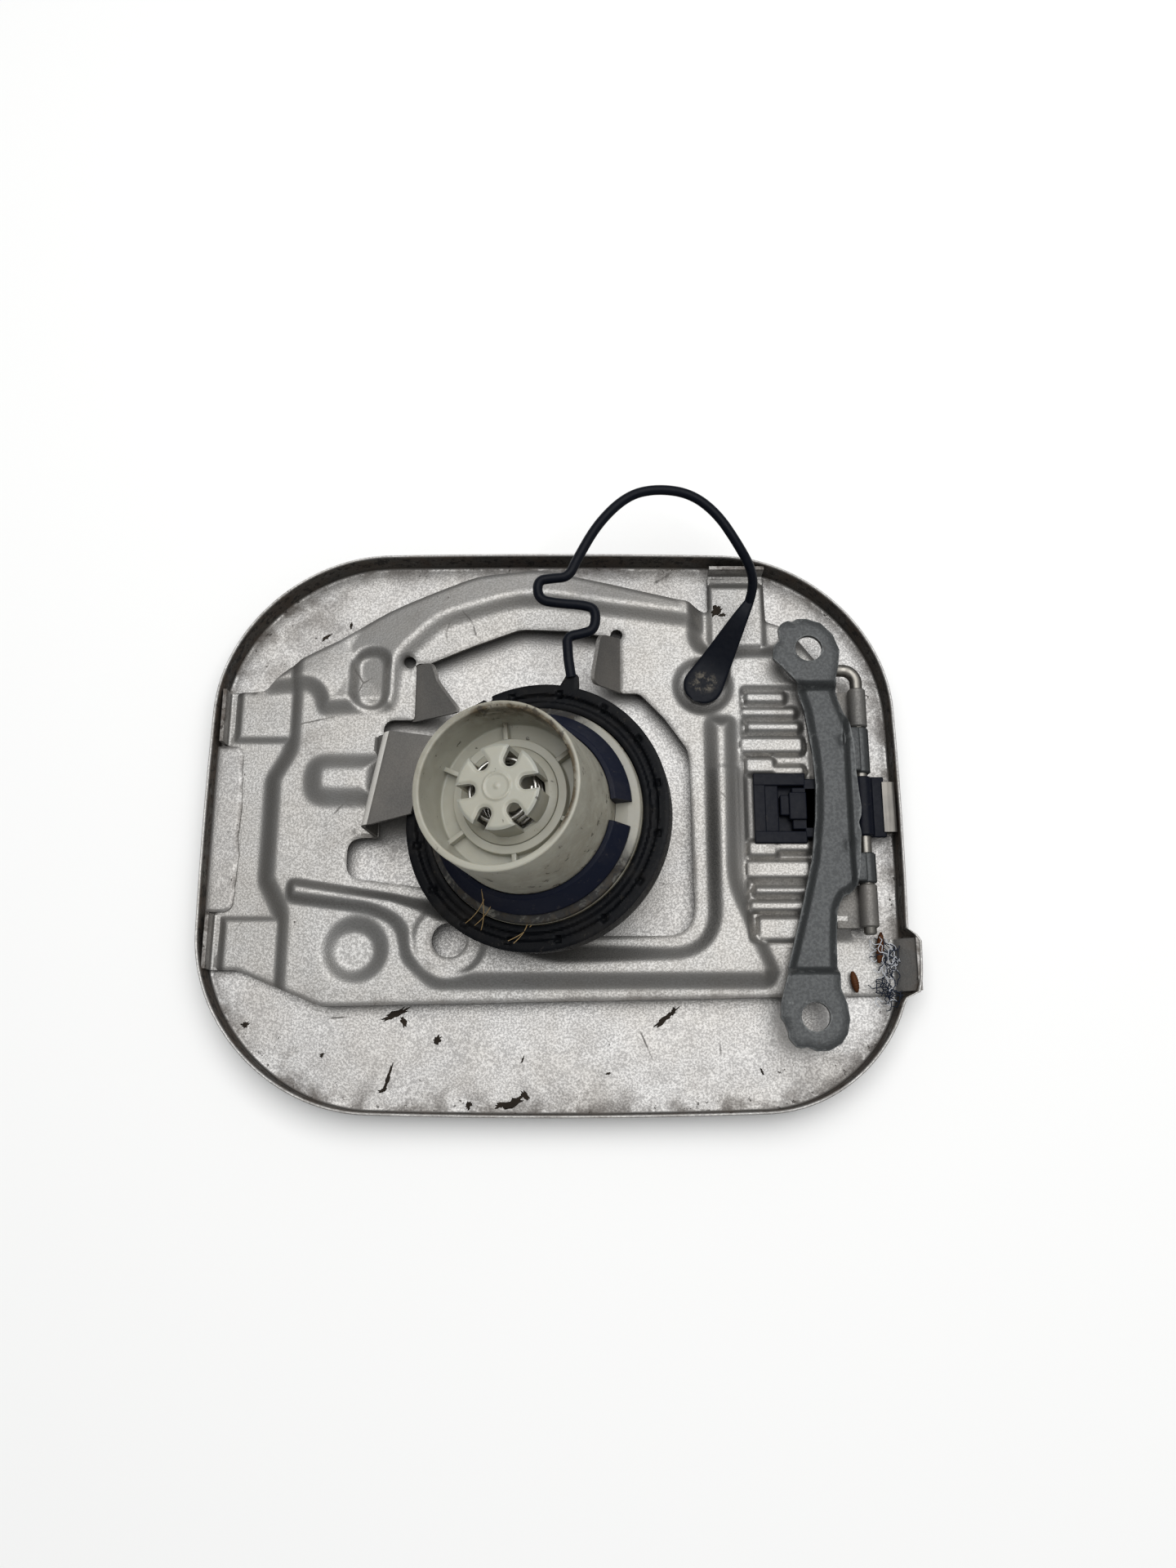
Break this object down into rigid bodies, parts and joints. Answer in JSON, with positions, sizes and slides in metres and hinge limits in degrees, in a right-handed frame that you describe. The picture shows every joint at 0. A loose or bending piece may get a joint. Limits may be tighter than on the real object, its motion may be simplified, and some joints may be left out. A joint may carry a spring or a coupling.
{
  "type": "car fuel filler door with tethered fuel cap",
  "caption": "Car fuel filler door lying inside up, with a pressed inner panel, a cranked hinge arm and a valved fuel cap parked in its holder on a moulded tether.",
  "frame": {"origin": "on the floor under the middle of the door, which lies on its painted face", "axes": "+X from the latch edge to the hinge edge, +Y up the door, +Z out of its inner side"},
  "size_m": [0.1812, 0.1554, 0.0596],
  "materials": {
    "paint": "silver paint, dulled",
    "panel_sheet": "silver paint over pressed sheet, dirty",
    "pin_steel": "satin wire",
    "arm_steel": "silver paint, worn",
    "clip_plastic": "dark blue, satin",
    "spring_steel": "bright",
    "tether_plastic": "black, satin",
    "shell_plastic": "black, satin",
    "inner_plastic": "off-white, satin",
    "plug_plastic": "off-white, stained",
    "rubber": "matt",
    "collar_plastic": "black, satin"
  },
  "bodies": {
    "door": {"outer_panel": "paint", "inner_panel": "panel_sheet", "hinge_pin": "pin_steel", "check_clip": "clip_plastic", "check_spring": "spring_steel", "tether_ring": "tether_plastic", "tether_cord": "tether_plastic", "tether_anchor": "tether_plastic"},
    "arm": {"hinge_arm": "arm_steel"},
    "cap_grip": {"cap_shell": "shell_plastic", "torque_plate": "inner_plastic"},
    "cap_plug": {"body_cover": "inner_plastic", "cap_body": "plug_plastic", "neck_gasket": "rubber", "split_collar": "collar_plastic", "valve_retainer": "plug_plastic", "vacuum_spring": "spring_steel"},
    "vacuum": {"vacuum_valve": "inner_plastic", "valve_seal": "rubber", "relief_spring": "spring_steel"},
    "relief": {"relief_valve": "inner_plastic"}
  },
  "joints": [
    {"name": "arm_hinge", "type": "hinge", "parent": "door", "child": "arm", "pos_m": [0.0777, 0, 0.00905], "axis": [0, 1, 0], "range_deg": [0, 95]},
    {"name": "cap_turn", "type": "hinge", "parent": "door", "child": "cap_grip", "pos_m": [-0.0056, -0.0028, 0.026], "axis": [-0.2419, 0, 0.9703], "continuous": true},
    {"name": "ratchet_turn", "type": "hinge", "parent": "cap_grip", "child": "cap_plug", "pos_m": [-0.0056, -0.0028, 0.026], "axis": [-0.2419, 0, 0.9703], "continuous": true},
    {"name": "vacuum_slide", "type": "slide", "parent": "cap_plug", "child": "vacuum", "axis": [-0.2419, 0, 0.9703], "range_m": [0, 0.002], "stiffness_N_per_m": 300, "springref_m": -0.002, "deforming": ["vacuum_spring"]},
    {"name": "relief_slide", "type": "slide", "parent": "vacuum", "child": "relief", "axis": [0.2419, 0, -0.9703], "range_m": [0, 0.0015], "stiffness_N_per_m": 600, "springref_m": -0.002, "deforming": ["relief_spring"]}
  ]
}
